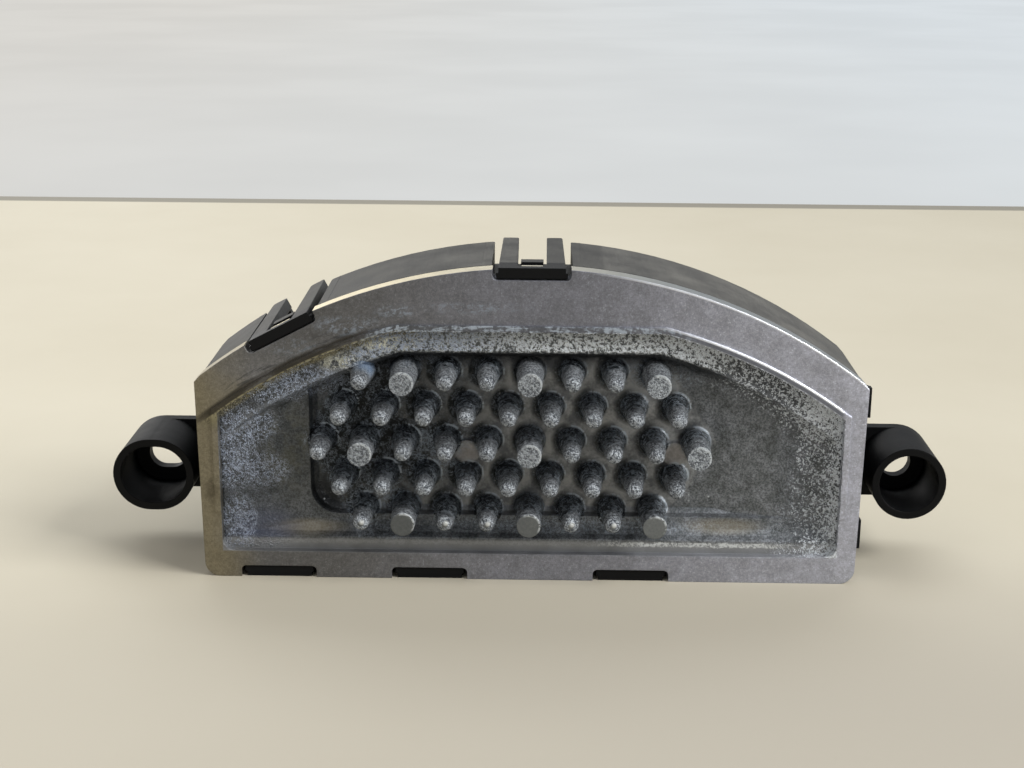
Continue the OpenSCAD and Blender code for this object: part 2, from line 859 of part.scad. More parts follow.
module clamp_screw() {
    color("#a8abae")
        translate([boss_x, boss_y + spring_thickness, device_z])
            rotate([180, 0, 0])
                screw(boss_y - pan_y + 0.4, 2.7);
}

module board_screws() {
    color("#a8abae")
        for (place = posts)
            translate([place[0], board_y, place[1]])
                screw(board_thickness + post_height + 0.6, head_radius);
}

module capacitor_cans() {
    r = can_diameter / 2;
    color("#3a3f52")
        for (place = cans)
            translate([place[0], board_y - r - fit, place[1]])
                rotate([0, 90, 0])
                    rotate_extrude()
                        polygon([[0, 0], [r - 0.4, 0], [r, 0.4], [r, can_length - 2.4],
                            [r - 0.5, can_length - 1.9], [r, can_length - 1.4], [r, can_length],
                            [0, can_length]]);
}

module capacitor_bungs() {
    color("#17171a")
        for (place = cans)
            translate([place[0] + can_length, board_y - can_diameter / 2 - fit, place[1]])
                rotate([0, 90, 0])
                    cylinder(d = can_diameter - 1.2, h = 0.8);
}

module capacitor_leads() {
    r = can_lead / 2;
    axis_y = board_y - can_diameter / 2 - fit;
    color("#b9bbbd")
        for (place = cans)
            for (side = [-1, 1])
                translate([place[0] + can_length + 0.8, axis_y, place[1] + side * can_diameter * 0.19]) {
                    rotate([0, 90, 0])
                        cylinder(r = r, h = 1.8, $fn = 24);
                    translate([1.8, 0, 0])
                        sphere(r = r, $fn = 24);
                    translate([1.8, 0, 0])
                        rotate([-90, 0, 0])
                            cylinder(r = r, h = board_back_y + 0.8 - axis_y, $fn = 24);
                }
}

// The choke lies on the board, with its wire's middle at wire_radius from the rod's axis
wire_radius = core_diameter / 2 + fit + wire_diameter / 2 + 0.05;
choke_y = board_y - wire_radius - wire_diameter / 2 - fit;

module choke_core() {
    color("#3b3936")
        translate([choke_place[0] - core_length / 2, choke_y, choke_place[1]])
            rotate([0, 90, 0])
                cylinder(d = core_diameter, h = core_length);
}

// The close turns of wire, with their scalloped outside, and the two ends down to the board
module choke_winding() {
    turns = floor((core_length - 3.2 - wire_diameter) / (wire_diameter * 0.9));
    step = (core_length - 3.2) / turns;
    color("#a8622f")
        translate([choke_place[0], choke_y, choke_place[1]]) {
            translate([-core_length / 2 + 1.6, 0, 0])
                rotate([0, 90, 0])
                    rotate_extrude() {
                        for (i = [0:turns])
                            translate([wire_radius, i * step])
                                circle(d = wire_diameter, $fn = 24);
                        translate([core_diameter / 2 + fit, 0])
                            square([wire_diameter / 2 + 0.05, core_length - 3.2]);
                    }
            for (side = [-1, 1])
                translate([side * (core_length - 3.2) / 2, -0.5, wire_radius])
                    rotate([-90, 0, 0])
                        cylinder(d = wire_diameter - 0.1, h = board_back_y + 1.3 - choke_y, $fn = 24);
        }
}

module on_board(place) {
    translate([place[0], board_y, place[1]])
        children();
}

module control_chip() {
    color("#1b1b1d")
        on_board(chip_place)
            translate([-control_length / 2, -1.75, -control_width / 2])
                cube([control_length, 1.6, control_width]);
}

module chip_legs() {
    edge = [[-1.05, 0], [-1.05, 0.65], [-0.25, 0.65], [-0.25, 1.15], [0, 1.15], [0, 0.45], [-0.8, 0.45],
        [-0.8, 0]];
    color("#b9bbbd")
        on_board(chip_place)
            for (side = [-1, 1])
                for (i = [-3:3])
                    translate([i * leg_step - 0.2, 0, side * control_width / 2])
                        rotate([90, 0, 90])
                            linear_extrude(height = 0.4)
                                polygon([for (p = edge) [p[0], side * p[1]]]);
}

module shunt_strip() {
    end = shunt_length / 2;
    edge = [[0, -shunt_arch], [end - 2.4, -shunt_arch], [end - 1.6, -0.7], [end, -0.7], [end, 0],
        [end - 2.1, 0], [end - 2.9, 0.7 - shunt_arch], [0, 0.7 - shunt_arch]];
    color("#8f8478")
        on_board(shunt_place)
            translate([0, 0, -shunt_width / 2])
                linear_extrude(height = shunt_width)
                    polygon(concat(mirrored(edge), edge));
}

module chips(places, size) {
    for (place = places)
        translate([place[0] - size[0] / 2, board_y - size[1], place[1] - size[2] / 2])
            cube(size);
}

module ceramic_capacitors() {
    color("#b79a6a")
        chips([for (i = [-1:1], side = [-1, 1])
            [diode_place[0] + i * chip_step, ceramic_z + side * chip_width]],
            [chip_length, ceramic_height, chip_width]);
}

module chip_resistors() {
    color("#232325")
        chips([for (i = [-1:1]) each [
            [chip_place[0] - control_length / 2 - 1.4 + (i - 1) * chip_step, chip_place[1] - 1],
            [shunt_place[0] + i * chip_step, (socket_level + shunt_low) / 2]]],
            [chip_length, resistor_height, chip_width]);
}

module protection_diode() {
    color("#1d1d1f")
        on_board(diode_place)
            translate([-diode_length / 2, -2.4, -diode_width / 2])
                cube([diode_length, 2.2, diode_width]);
}

module diode_terminals() {
    end = diode_length / 2;
    edge = [[end, -1.4], [end + 0.3, -1.4], [end + 0.3, 0], [end - 1.1, 0], [end - 1.1, -0.2], [end, -0.2]];
    color("#b9bbbd")
        on_board(diode_place)
            for (side = [-1, 1])
                translate([0, 0, -diode_width / 4])
                    linear_extrude(height = diode_width / 2)
                        polygon([for (p = edge) [side * p[0], p[1]]]);
}

// A flat blade with a tapered nose, soldered into the board and standing in its socket
module blade(width) {
    root = board_y - 0.3;
    tip = back_y + blade_length;
    translate([0, 0, -blade_thickness / 2])
        linear_extrude(height = blade_thickness)
            polygon([[-width / 2, root], [width / 2, root], [width / 2, tip - 1.5], [width / 2 - 0.9, tip],
                [-width / 2 + 0.9, tip], [-width / 2, tip - 1.5]]);
}

module supply_blades() {
    color("#b08d4f")
        for (i = [0, len(supply_row) - 1])
            translate([supply_x + row_place(supply_row, i), 0, socket_level])
                blade(supply_row[i]);
}

module signal_pins() {
    color("#b08d4f")
        for (i = [1, 2])
            translate([supply_x + row_place(supply_row, i), 0, socket_level])
                blade(supply_row[i]);
}

module motor_blades() {
    color("#b08d4f")
        for (i = [0:len(motor_row) - 1])
            translate([motor_x + row_place(motor_row, i), 0, socket_level])
                blade(motor_row[i]);
}

translate([-shift_x, -shift_y, 0]) {
    heat_sink();
    housing();
    seal();
    circuit_board();
    thermal_pads();
    transistor_bodies();
    transistor_tabs();
    transistor_leads();
    clamp_spring();
    clamp_screw();
    board_screws();
    capacitor_cans();
    capacitor_bungs();
    capacitor_leads();
    choke_core();
    choke_winding();
    control_chip();
    chip_legs();
    shunt_strip();
    ceramic_capacitors();
    chip_resistors();
    protection_diode();
    diode_terminals();
    supply_blades();
    motor_blades();
    signal_pins();
}
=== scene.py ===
"""Looks of the blower motor resistor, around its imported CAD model."""

import json
import math
from types import SimpleNamespace

import bpy
from mathutils import Matrix, Vector

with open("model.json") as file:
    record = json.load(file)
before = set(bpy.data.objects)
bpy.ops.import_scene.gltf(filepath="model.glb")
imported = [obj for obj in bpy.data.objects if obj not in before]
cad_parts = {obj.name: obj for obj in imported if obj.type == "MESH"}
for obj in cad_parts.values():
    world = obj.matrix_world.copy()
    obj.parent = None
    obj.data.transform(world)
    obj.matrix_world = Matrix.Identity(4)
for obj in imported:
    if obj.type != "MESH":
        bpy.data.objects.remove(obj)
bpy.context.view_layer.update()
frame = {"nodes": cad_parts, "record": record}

# Distance of the model's middle from the body's middle, in mm
BODY_X = 0.275
# Depths of the casting's faces and of the pins' tips, in mm
TIP_Y = -20.5
RIM_Y = -17.0
SHELF_Y = -15.8
DISH_Y = -14.0
FLOOR_Y = -12.5
# The recess: how far its arc's centre lies below the part, its radius, flat top, bottom and half width
RECESS_ARC_DROP = 35.4
RECESS_ARC_RADIUS = 75.0
RECESS_TOP_Z = 37.2
RECESS_BOTTOM_Z = 4.0
RECESS_HALF = 44.55
# The arc of the casting's outer edge
EDGE_ARC_DROP = 30.7
EDGE_ARC_RADIUS = 77.0
# The pins' field: its middle, the pitch, the step between rows and its reach to the side and up, in mm
FIELD_X = -3.1 + BODY_X
FIELD_Z = 20.0
PITCH = 6.0
ROW_STEP = 5.19615
FIELD_SIDE = 29.8
FIELD_UP = 12.6
# The field's ends slope by this much to the side for each mm up or down
FIELD_SLOPE = 0.577
# Middles of the two ejector marks in the pocket, and the size of their stain
EJECTOR_MARKS = ((-8.83, 18.27), (21.17, 18.27))
MARK_REACH = 2.2
# The snap loop on top: its middle, half width and where its legs begin
TOP_LOOP_X = 4.3
TOP_LOOP_HALF = 6.6
TOP_LOOP_Z = 42.0
# In front of this depth only the snap loops' bars are plastic, and they carry little dust
BARS_Y = -13.1
# From here outward the plastic belongs to the screw tubes
TUBES_X = 48.5
# Where the table ends behind the object, in mm
TABLE_END = 310.0


def linear(red, green, blue):
    """The linear colour of an 8-bit display colour."""
    out = []
    for value in (red, green, blue):
        v = value / 255
        out.append(v / 12.92 if v <= 0.04045 else ((v + 0.055) / 1.055) ** 2.4)
    return (*out, 1.0)


class Value:
    """A socket of a material's nodes, on which plain arithmetic works."""

    def __init__(self, material, socket):
        self.material = material
        self.socket = socket

    def __add__(self, other):
        return self.material.math("ADD", self, other)

    def __sub__(self, other):
        return self.material.math("SUBTRACT", self, other)

    def __rsub__(self, other):
        return self.material.math("SUBTRACT", other, self)

    def __mul__(self, other):
        return self.material.math("MULTIPLY", self, other)

    def __truediv__(self, other):
        return self.material.math("DIVIDE", self, other)


class Material:
    """A material whose nodes work in the model's own millimetres."""

    def __init__(self, name):
        self.data = bpy.data.materials.new(name)
        self.data.use_nodes = True
        self.tree = self.data.node_tree
        self.tree.nodes.clear()
        coordinates = self.node("ShaderNodeTexCoord")
        scaled = self.node("ShaderNodeVectorMath", operation="SCALE")
        self.link(coordinates.outputs["Object"], scaled.inputs[0])
        scaled.inputs["Scale"].default_value = 1000.0
        self.place = scaled.outputs[0]
        self.x, self.y, self.z = self.split(self.place)

    def node(self, kind, **settings):
        made = self.tree.nodes.new(kind)
        for key, value in settings.items():
            setattr(made, key, value)
        return made

    def link(self, start, end):
        self.tree.links.new(start, end)

    def feed(self, socket, value):
        """Links a Value to the socket, or writes a plain number or colour on it."""
        if isinstance(value, Value):
            self.link(value.socket, socket)
        else:
            socket.default_value = value

    def split(self, vector):
        """The three parts of a vector's socket."""
        parts = self.node("ShaderNodeSeparateXYZ")
        self.link(vector, parts.inputs[0])
        return [Value(self, output) for output in parts.outputs]

    def vector(self, a, b, c):
        made = self.node("ShaderNodeCombineXYZ")
        for i, value in enumerate((a, b, c)):
            self.feed(made.inputs[i], value)
        return made.outputs[0]

    def facing(self):
        """The surface's own direction as three values."""
        return self.split(self.node("ShaderNodeNewGeometry").outputs["Normal"])

    def math(self, kind, *values):
        made = self.node("ShaderNodeMath", operation=kind)
        for i, value in enumerate(values):
            self.feed(made.inputs[i], value)
        return Value(self, made.outputs[0])

    def low(self, a, b):
        return self.math("MINIMUM", a, b)

    def high(self, a, b):
        return self.math("MAXIMUM", a, b)

    def abs(self, value):
        return self.math("ABSOLUTE", value)

    def length(self, a, b):
        return self.math("SQRT", a * a + b * b)

    def step(self, value, start, end, low=0.0, high=1.0):
        """A smooth change from low to high as value goes from start to end."""
        if start > end:
            start, end, low, high = end, start, high, low
        made = self.node("ShaderNodeMapRange", interpolation_type="SMOOTHSTEP")
        self.feed(made.inputs["Value"], value)
        limits = (("From Min", start), ("From Max", end), ("To Min", low), ("To Max", high))
        for name, number in limits:
            made.inputs[name].default_value = number
        return Value(self, made.outputs["Result"])

    def patch(self, x, z, half_x, half_z):
        """A soft round patch on the face, with its middle at x and z."""
        reach = self.length((self.x - x) / half_x, (self.z - z) / half_z)
        return self.step(reach, 1.15, 0.3)

    def patches(self, *rows):
        """The sum of patches; a fifth number in a row is that patch's strength."""
        total = None
        for x, z, half_x, half_z, *strength in rows:
            made = self.patch(x, z, half_x, half_z)
            if strength:
                made = made * strength[0]
            total = total + made if total else made
        return total

    def mapped(self, place, scale, stretch, shift):
        """A place that a texture reads, with scale lumps in a millimetre."""
        mapping = self.node("ShaderNodeMapping")
        self.link(place, mapping.inputs["Vector"])
        mapping.inputs["Scale"].default_value = [scale * s for s in stretch]
        mapping.inputs["Location"].default_value = (shift, shift * 0.7, -shift)
        return mapping.outputs[0]

    def noise(self, scale, detail=3.0, rough=0.5, stretch=(1, 1, 1), shift=0.0, distortion=0.0,
              place=None):
        """Noise from 0 to 1 with about scale lumps in a millimetre."""
        made = self.node("ShaderNodeTexNoise")
        self.link(self.mapped(place or self.place, scale, stretch, shift), made.inputs["Vector"])
        made.inputs["Scale"].default_value = 1.0
        made.inputs["Detail"].default_value = detail
        made.inputs["Roughness"].default_value = rough
        made.inputs["Distortion"].default_value = distortion
        return Value(self, made.outputs[0])

    def cells(self, scale, shift):
        """Distance from the nearest of scattered points, about scale of them in a millimetre."""
        made = self.node("ShaderNodeTexVoronoi")
        self.link(self.mapped(self.place, scale, (1, 1, 1), shift), made.inputs["Vector"])
        made.inputs["Scale"].default_value = 1.0
        return Value(self, made.outputs["Distance"])

    def mix(self, share, first, second):
        """The colour first where share is 0 and second where it is 1."""
        made = self.node("ShaderNodeMix", data_type="RGBA", clamp_factor=True)
        self.feed(made.inputs[0], share)
        self.feed(made.inputs[6], first)
        self.feed(made.inputs[7], second)
        return Value(self, made.outputs[2])

    def mix_value(self, share, first, second):
        """The number first where share is 0 and second where it is 1."""
        return share * (second - first) + first

    def shade(self, colour, share):
        """The colour with its brightness multiplied by share."""
        made = self.node("ShaderNodeVectorMath", operation="SCALE")
        self.feed(made.inputs[0], colour)
        self.feed(made.inputs["Scale"], share)
        return Value(self, made.outputs[0])

    def finish(self, colour, roughness, metallic, bumps, edge=0.0, **settings):
        """Ends the material: bumps are pairs of a relief and the mm that a relief of 1 stands for,
        and edge is the radius in mm to which sharp edges are rounded."""
        shader = self.node("ShaderNodeBsdfPrincipled")
        self.feed(shader.inputs["Base Color"], colour)
        self.feed(shader.inputs["Roughness"], roughness)
        self.feed(shader.inputs["Metallic"], metallic)
        for name, value in settings.items():
            shader.inputs[name.replace("_", " ")].default_value = value
        normal = None
        if edge:
            bevel = self.node("ShaderNodeBevel", samples=4)
            bevel.inputs["Radius"].default_value = edge / 1000
            normal = bevel.outputs[0]
        for height, size in bumps:
            bump = self.node("ShaderNodeBump")
            self.feed(bump.inputs["Height"], height)
            bump.inputs["Strength"].default_value = 1.0
            bump.inputs["Distance"].default_value = size / 1000
            if normal:
                self.link(normal, bump.inputs["Normal"])
            normal = bump.outputs[0]
        self.link(normal, shader.inputs["Normal"])
        output = self.node("ShaderNodeOutputMaterial")
        self.link(shader.outputs[0], output.inputs["Surface"])
        return self.data


def casting_fields(m):
    """Distances in mm, masks from 0 to 1 and noises that the casting's layers share."""
    s = SimpleNamespace()
    s.x, s.y, s.z = m.x - BODY_X, m.y, m.z
    s.ny, s.nz = m.facing()[1:]

    # Distances inside the recess from its top, its sides and its whole outline, and inside the edge
    arc = m.length(s.x, s.z + RECESS_ARC_DROP)
    s.from_top = m.low(RECESS_ARC_RADIUS - arc, RECESS_TOP_Z - s.z)
    s.from_side = RECESS_HALF - m.abs(s.x)
    s.inside = m.low(m.low(s.from_top, s.z - RECESS_BOTTOM_Z), s.from_side)
    s.in_recess = m.step(s.inside, -0.12, 0.08)
    s.outside = 1.0 - s.in_recess
    s.from_edge = EDGE_ARC_RADIUS - m.length(s.x, s.z + EDGE_ARC_DROP)

    # Place round the nearest pin's axis, on the two interleaved grids of pins; lean grows towards
    # the upper right, where the light comes from
    grids = []
    for offset_x, offset_z in ((PITCH / 2, 0.0), (0.0, ROW_STEP)):
        u = m.math("WRAP", m.x - (FIELD_X + offset_x), PITCH / 2, -PITCH / 2)
        v = m.math("WRAP", s.z - (FIELD_Z + offset_z), ROW_STEP, -ROW_STEP)
        grids.append((m.length(u, v), u, v))
    s.near = m.low(grids[0][0], grids[1][0])
    nearer = m.math("LESS_THAN", grids[0][0], grids[1][0])
    s.rightward = m.mix_value(nearer, grids[1][1], grids[0][1])
    s.upward = m.mix_value(nearer, grids[1][2], grids[0][2])
    s.lean = s.rightward * 0.75 + s.upward * 0.66
    s.up_field = m.abs(s.z - FIELD_Z)
    s.field = (FIELD_SIDE - m.abs(m.x - FIELD_X)) - s.up_field * FIELD_SLOPE
    s.in_field = m.low(m.step(s.field, -0.6, 0.2), m.step(s.up_field, FIELD_UP + 1.0, FIELD_UP))
    s.on_pin = m.low(m.step(s.near, 2.20, 2.02), s.in_field)
    s.on_pin = s.on_pin * m.step(s.y, FLOOR_Y - 0.05, FLOOR_Y - 0.30)
    s.off_pin = s.in_recess * (1.0 - s.on_pin)
    s.pin_height = (FLOOR_Y - s.y) / (FLOOR_Y - TIP_Y)

    # Noises, from wide clouds to fine grain; the brushed one runs along the arc
    s.cloud = m.noise(0.10, 2.0, 0.6)
    s.mottle = m.noise(0.45, 3.0, 0.6, shift=7.0)
    s.grain = m.noise(5.0, 1.0, 0.6, shift=3.0)
    s.fine = m.noise(2.6, 2.0, 0.7, shift=11.0)
    s.flakes = m.noise(1.25, 3.0, 0.75, shift=23.0, distortion=0.6)
    s.veins = m.noise(0.8, 3.0, 0.65, shift=31.0, distortion=2.5)
    along = m.math("ARCTAN2", s.x, s.z + RECESS_ARC_DROP) * RECESS_ARC_RADIUS
    s.brushed = m.noise(1.0, 3.0, 0.65, stretch=(0.22, 1.5, 1.0), shift=41.0,
                        place=m.vector(along, arc, s.y))
    s.threads = m.abs(m.noise(1.7, 3.0, 0.7, shift=61.0, distortion=1.2) - 0.5)
    s.speckle = s.fine * 0.6 + s.grain * 0.4
    # right ramps up to the right; colours brightened by it carry painted light, which falls stronger
    # from the right
    s.right = m.step(m.x, -30.0, 34.0)
    s.leftward = m.step(m.x + s.cloud * 20.0, 12.0, -20.0)
    return s


def rim_metal(m, s):
    """Bare metal: greyer to the left, faintly violet to the right, olive at the left end, brightened
    towards the right by painted light.
    """
    metal = m.mix(s.mottle, linear(126, 128, 136), linear(144, 146, 157))
    metal = m.mix(m.step(m.x, 0.0, -34.0) * 0.7, metal, linear(138, 137, 134))
    metal = m.mix(m.step(s.speckle, 0.58, 0.70) * 0.28, metal, linear(190, 196, 206))
    # Painted light: brighter towards the right and on the right side, painted shade below the top and
    # at the lower left
    lit = m.step(m.x, -38.0, 6.0, 0.64, 1.0) + m.step(m.x, 4.0, 44.0, 0.0, 0.60)
    lit = lit + m.step(s.x, 43.8, 44.8) * 0.18
    lit = lit - m.step(s.z, 31.0, 37.0) * m.step(m.x, 26.0, 2.0) * 0.20
    lit = lit - m.step(s.z, 5.0, 3.5) * m.step(m.x, -8.0, -20.0) * 0.12
    metal = m.shade(metal, lit)
    olive = m.step(m.x + s.cloud * 8.0 + m.step(s.z, 27.0, 34.0) * 3.0, -33.0, -41.5)
    metal = m.mix(olive, metal, linear(124, 117, 98))
    metal = m.shade(metal, m.step(s.speckle * 0.8 + s.mottle * 0.2, 0.32, 0.68, 0.76, 1.24))
    smudge = m.patch(-45.6, 13.4, 1.5, 2.2) * m.step(s.flakes, 0.30, 0.5)
    metal = m.mix(smudge * s.outside * 0.5, metal, linear(62, 56, 46))
    smear = m.step(s.brushed, 0.50, 0.60) * m.step(s.from_top, -3.6, -1.9)
    smear = smear * m.step(s.from_top, 0.2, -0.3)
    smear = smear * m.step(m.x, -15.0, -25.0) * m.step(m.x + s.z, -18.0, -10.0)
    metal = m.mix(smear * s.outside * 0.6, metal, linear(50, 52, 54))
    dusting = m.patches((-25.5, 37.9, 6.0, 1.7), (-18.6, 40.0, 3.6, 1.2),
                        (-8.0, 40.6, 9.0, 1.0, 0.8), (-33.0, 34.6, 5.0, 1.6, 0.6))
    dusting = dusting * m.step(s.flakes * 0.6 + s.brushed * 0.4, 0.47, 0.60) * s.outside
    return m.mix(dusting * 0.55, metal, linear(158, 170, 186))


def bead_and_edge(m, s, metal):
    """The bead, stained at the left, crusted on top and bright on the right, and the outer edge.

    Gives the colour, the share of painted highlight lines and the share of crust."""
    bead = m.step(s.from_top, -1.15, -0.85) * m.step(s.y, RIM_Y - 0.05, RIM_Y - 0.2)
    bead = bead * m.step(s.z, 24.5, 26.0)
    at_left = m.step(s.z, 22.0, 25.0)
    stain = m.step(s.from_top, -1.6, -1.0) * m.step(m.x, -18.0, -26.0) * at_left * s.outside
    metal = m.mix(stain * m.step(s.brushed, 0.35, 0.5, 0.5, 0.85), metal, linear(50, 46, 38))
    # A painted highlight along the bead's inner edge at the left
    lip_highlight = m.step(s.from_top, -0.36, -0.14) * m.step(m.x, -14.0, -22.0) * at_left * s.outside
    metal = m.mix(lip_highlight * m.step(s.flakes, 0.42, 0.54, 0.1, 0.85), metal, linear(152, 146, 116))
    crust = bead * m.step(m.abs(m.x), 27.0, 19.0)
    metal = m.mix(crust * 0.5, metal, linear(66, 70, 76))
    crust = crust * m.step(s.flakes * 0.5 + s.brushed * 0.5, 0.46, 0.58)
    metal = m.mix(crust * 0.62, metal, linear(172, 184, 196))

    # Painted highlights: two lines along the bead's right arc with a darker band beside them, and one
    # along the casting's edge
    on_arc = m.step(m.x, 15.0, 27.0) * m.step(s.z, 24.0, 26.0)
    on_arc = on_arc * m.step(s.from_side, -0.15, 0.65) * s.outside
    metal = m.mix(on_arc * m.step(s.from_top, -0.75, -0.55) * 0.75, metal, linear(84, 89, 98))
    arc_highlight = m.step(s.from_top, -1.0, -0.88) * m.step(s.from_top, -0.58, -0.7) * on_arc
    arc_highlight = m.high(arc_highlight, m.step(s.from_top, -0.16, -0.08) * on_arc * 0.5)
    edge_highlight = m.step(s.from_edge, 0.36, 0.18) * m.step(m.x, 6.0, 20.0)
    edge_highlight = edge_highlight * m.step(s.y, RIM_Y + 0.6, RIM_Y + 0.2) * s.outside
    bright = m.high(arc_highlight, edge_highlight)
    metal = m.mix(bright * 0.85, metal, linear(236, 240, 248))

    # A painted reflection on the casting's upper side, which faces up along the arc: cream at the left,
    # grey at the right, dimmer at the left end
    upper_side_reflection = m.step(s.nz, 0.35, 0.6) * m.step(s.from_edge, 0.25, 0.1)
    upper_side_reflection = upper_side_reflection * m.step(s.y, RIM_Y + 0.1, RIM_Y + 0.3) * s.outside
    side_reflection_colour = m.mix(m.step(m.x, -30.0, 26.0), linear(246, 234, 202), linear(142, 147, 149))
    side_reflection_colour = m.shade(side_reflection_colour, m.step(m.x, -34.0, -40.0, 0.86, 0.42))
    return m.mix(upper_side_reflection, metal, side_reflection_colour), bright, crust


def recess_metal(m, s):
    """Dull mottled metal with olive and cool stains, brightened towards the right and the bottom by
    painted light, with painted beige reflections low down.
    """
    floor = m.mix(m.step(s.mottle, 0.3, 0.7), linear(66, 69, 71), linear(90, 93, 97))
    # Painted light: brighter towards the right, darker at the top and lighter towards the bottom
    floor = m.shade(floor, m.mix_value(s.right, 1.05, 1.95) * m.step(s.z, 28.0, 6.0, 0.92, 1.14))
    floor = m.shade(floor, m.step(s.speckle, 0.38, 0.62, 0.62, 1.40))
    olive = m.patch(-34.5, 19.0, 5.0, 9.0) * m.step(s.mottle, 0.4, 0.6)
    floor = m.mix(olive * 0.45, floor, linear(80, 80, 64))
    # Painted reflections on the lower dish wall at both ends
    warm_reflection = m.patches((-32.5, 7.0, 7.0, 1.3), (28.5, 7.7, 6.8, 1.3))
    warm_reflection_colour = m.mix(s.speckle, linear(124, 116, 98), linear(166, 157, 134))
    floor = m.mix(warm_reflection * 0.5, floor, warm_reflection_colour)
    return m.mix(m.patch(-38.5, 6.8, 6.0, 3.8) * 0.5, floor, linear(94, 100, 122))


def pocket_floor(m, s, floor):
    """Grey metal with black residue, mostly at the left, a painted shadow at the left of each pin, and
    threads of crust round the pins.

    Gives the colour, the pocket's share and the threads' share."""
    spread = m.low(m.step(s.field, -2.6, 2.4), m.step(s.up_field, 16.0, FIELD_UP))
    pocket = m.step(s.y, DISH_Y - 0.1, DISH_Y + 0.8)
    pocket = pocket * m.step(spread + (s.flakes - 0.5) * 0.9, 0.25, 0.75)
    metal = m.mix(m.step(s.mottle + s.fine * 0.3, 0.45, 0.85), linear(88, 91, 95),
                  linear(148, 150, 151))
    # Painted light: brighter towards the right
    metal = m.shade(metal, m.mix_value(s.right, 0.95, 1.25))

    # Residue lies all over the left end and a painted shadow at the left of each pin, but neither lies
    # on the ejector marks
    pin_shadow = m.step(s.near, 3.3, 2.3) * m.step(s.rightward, 0.6, -1.4)
    residue = s.leftward * m.step(s.z, 7.0, 17.0) * 1.4 + pin_shadow * 0.9
    residue = residue + m.patch(-30.6, 17.0, 3.4, 11.0) * 1.3 + m.patch(-28.0, 28.5, 5.0, 4.5)
    residue = residue * m.step(s.fine * 0.4 + s.veins * 0.6, 0.28, 0.46)
    mark = m.patches(*((x, z, MARK_REACH, MARK_REACH) for x, z in EJECTOR_MARKS))
    metal = m.mix(m.high(residue - mark, 0.0), metal, linear(16, 19, 20))
    metal = m.mix(mark * 0.35, metal, linear(176, 168, 164))
    floor = m.mix(pocket, floor, metal)
    below = m.patch(-28.4, 12.0, 4.4, 4.4) * m.step(s.y, DISH_Y - 0.05, DISH_Y + 0.5)
    below = below * m.step(s.flakes, 0.32, 0.48)
    floor = m.mix(below * 0.85, floor, linear(22, 24, 26))

    # Threads of crust, with a finer haze between them
    line = m.abs(s.veins - 0.5)
    web = m.high(m.step(line, 0.034, 0.012), m.step(s.threads, 0.030, 0.010) * 0.9)
    web = web * m.step(s.flakes, 0.42, 0.54)
    web_area = m.patches((-14.5, 17.8, 4.6, 4.4), (-12.0, 20.0, 4.0, 2.6), (-21.5, 12.4, 3.4, 2.6),
                         (8.0, 7.6, 24.0, 1.5, 0.8), (-17.0, 33.0, 8.0, 2.0), (19.0, 31.0, 8.0, 4.0),
                         (-22.5, 33.0, 2.6, 1.6, 1.6))
    haze = m.step(s.speckle, 0.52, 0.62) * web_area * 0.6
    web_area = web_area + s.leftward * m.step(spread, 0.2, 0.6) * 0.7
    web_area = web_area + m.step(s.near, 2.9, 2.3) * s.in_field * 0.3
    web = m.low(web * web_area + haze, 1.0) * (1.0 - s.on_pin)
    floor = m.mix(web * 0.85, floor, linear(150, 161, 174))

    # A painted highlight at the upper right of each pin's foot, and painted light on the wall where the
    # pocket runs out
    lip_highlight = m.step(s.near, 2.0, 2.1) * m.step(s.near, 2.42, 2.24) * m.step(s.lean, 0.8, 1.7)
    lip_highlight = lip_highlight * s.in_field * (1.0 - s.on_pin) * m.step(s.flakes, 0.40, 0.54)
    floor = m.mix(lip_highlight * 0.8, floor, linear(182, 192, 202))
    ramp_wall_light = m.step(s.nz, 0.5, 0.8) * m.step(s.y, DISH_Y - 0.1, DISH_Y + 0.1)
    ramp_wall_light = ramp_wall_light * m.step(s.z, 11.5, 10.5) * m.step(m.x, -24.0, -18.0) * (1.0 - s.on_pin)
    floor = m.mix(ramp_wall_light * m.step(m.x, 14.0, 20.0, 0.4, 0.12), floor, linear(132, 132, 132))
    return floor, pocket, web


